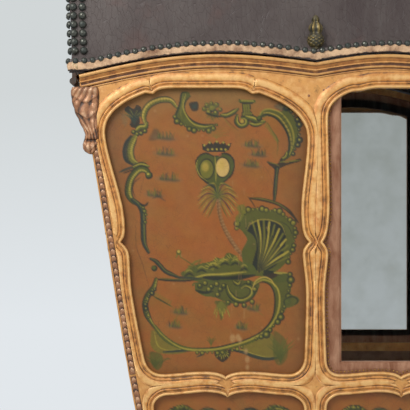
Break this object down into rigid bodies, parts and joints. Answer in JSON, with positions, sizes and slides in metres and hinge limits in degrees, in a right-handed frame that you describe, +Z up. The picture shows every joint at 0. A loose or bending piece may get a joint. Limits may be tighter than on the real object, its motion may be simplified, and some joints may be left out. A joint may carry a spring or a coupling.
{
  "type": "sedan chair",
  "caption": "Closed carrying chair with carved gilt side frames, painted panels, glazed windows, front door, hinged domed leather roof and removable poles.",
  "frame": {"origin": "on the ground below the middle of the poles", "axes": "+X forward along the poles, +Y to the passenger's left, +Z up"},
  "size_m": [2.8, 0.8398, 1.748],
  "materials": {
    "gilt_wood": "old worn gilding on carved wood",
    "painted_panel": "aged varnish over painted rocaille",
    "glass": "old clear glass",
    "velvet": "worn rose-brown velvet",
    "plain_wood": "plain stained wood",
    "roof_leather": "old dark brown leather",
    "iron": "dark wrought iron",
    "brass": "dull patinated brass",
    "pole_wood": "dark stained ash, worn at the grips"
  },
  "bodies": {
    "chair": {"floor_board": "plain_wood", "feet": "gilt_wood", "side_sills": "gilt_wood", "back_sill": "gilt_wood", "front_sill": "gilt_wood", "right_rear_post": "gilt_wood", "right_stile": "gilt_wood", "right_front_post": "gilt_wood", "right_waist_rails": "gilt_wood", "right_top_rail": "gilt_wood", "right_upper_panel": "painted_panel", "right_rear_lower_panel": "painted_panel", "right_front_lower_panel": "painted_panel", "right_sash": "velvet", "right_window_glass": "glass", "left_rear_post": "gilt_wood", "left_stile": "gilt_wood", "left_front_post": "gilt_wood", "left_waist_rails": "gilt_wood", "left_top_rail": "gilt_wood", "left_upper_panel": "painted_panel", "left_rear_lower_panel": "painted_panel", "left_front_lower_panel": "painted_panel", "left_sash": "velvet", "left_window_glass": "glass", "back_upper_frame": "gilt_wood", "back_upper_panel": "painted_panel", "back_lower_frame": "gilt_wood", "back_lower_panel": "painted_panel", "front_surround": "gilt_wood", "seat_box": "plain_wood", "seat_cushion": "velvet", "back_cushion": "velvet", "corner_carvings": "gilt_wood", "pole_brackets": "iron", "roof_hinge_knuckles": "brass", "door_hinge_pins": "brass"},
    "roof": {"roof_rim": "roof_leather", "roof_shell": "roof_leather", "roof_finials": "brass", "roof_hinge_leaves": "brass"},
    "door": {"door_frame": "gilt_wood", "door_panel": "painted_panel", "door_glass": "glass", "door_knob": "brass", "door_hinge_eyes": "brass"},
    "right_pole": {"right_pole": "pole_wood"},
    "left_pole": {"left_pole": "pole_wood"}
  },
  "joints": [
    {"name": "door_hinge", "type": "hinge", "parent": "chair", "child": "door", "pos_m": [0.464, 0.291, 0.782], "axis": [0, 0, 1], "range_deg": [0, 90]},
    {"name": "roof_hinge", "type": "hinge", "parent": "chair", "child": "roof", "pos_m": [-0.50202, 0, 1.459], "axis": [0, -1, 0], "range_deg": [0, 60]},
    {"name": "right_pole_slide", "type": "slide", "parent": "chair", "child": "right_pole", "axis": [1, 0, 0], "range_m": [0, 1.85]},
    {"name": "left_pole_slide", "type": "slide", "parent": "chair", "child": "left_pole", "axis": [1, 0, 0], "range_m": [0, 1.85]}
  ]
}
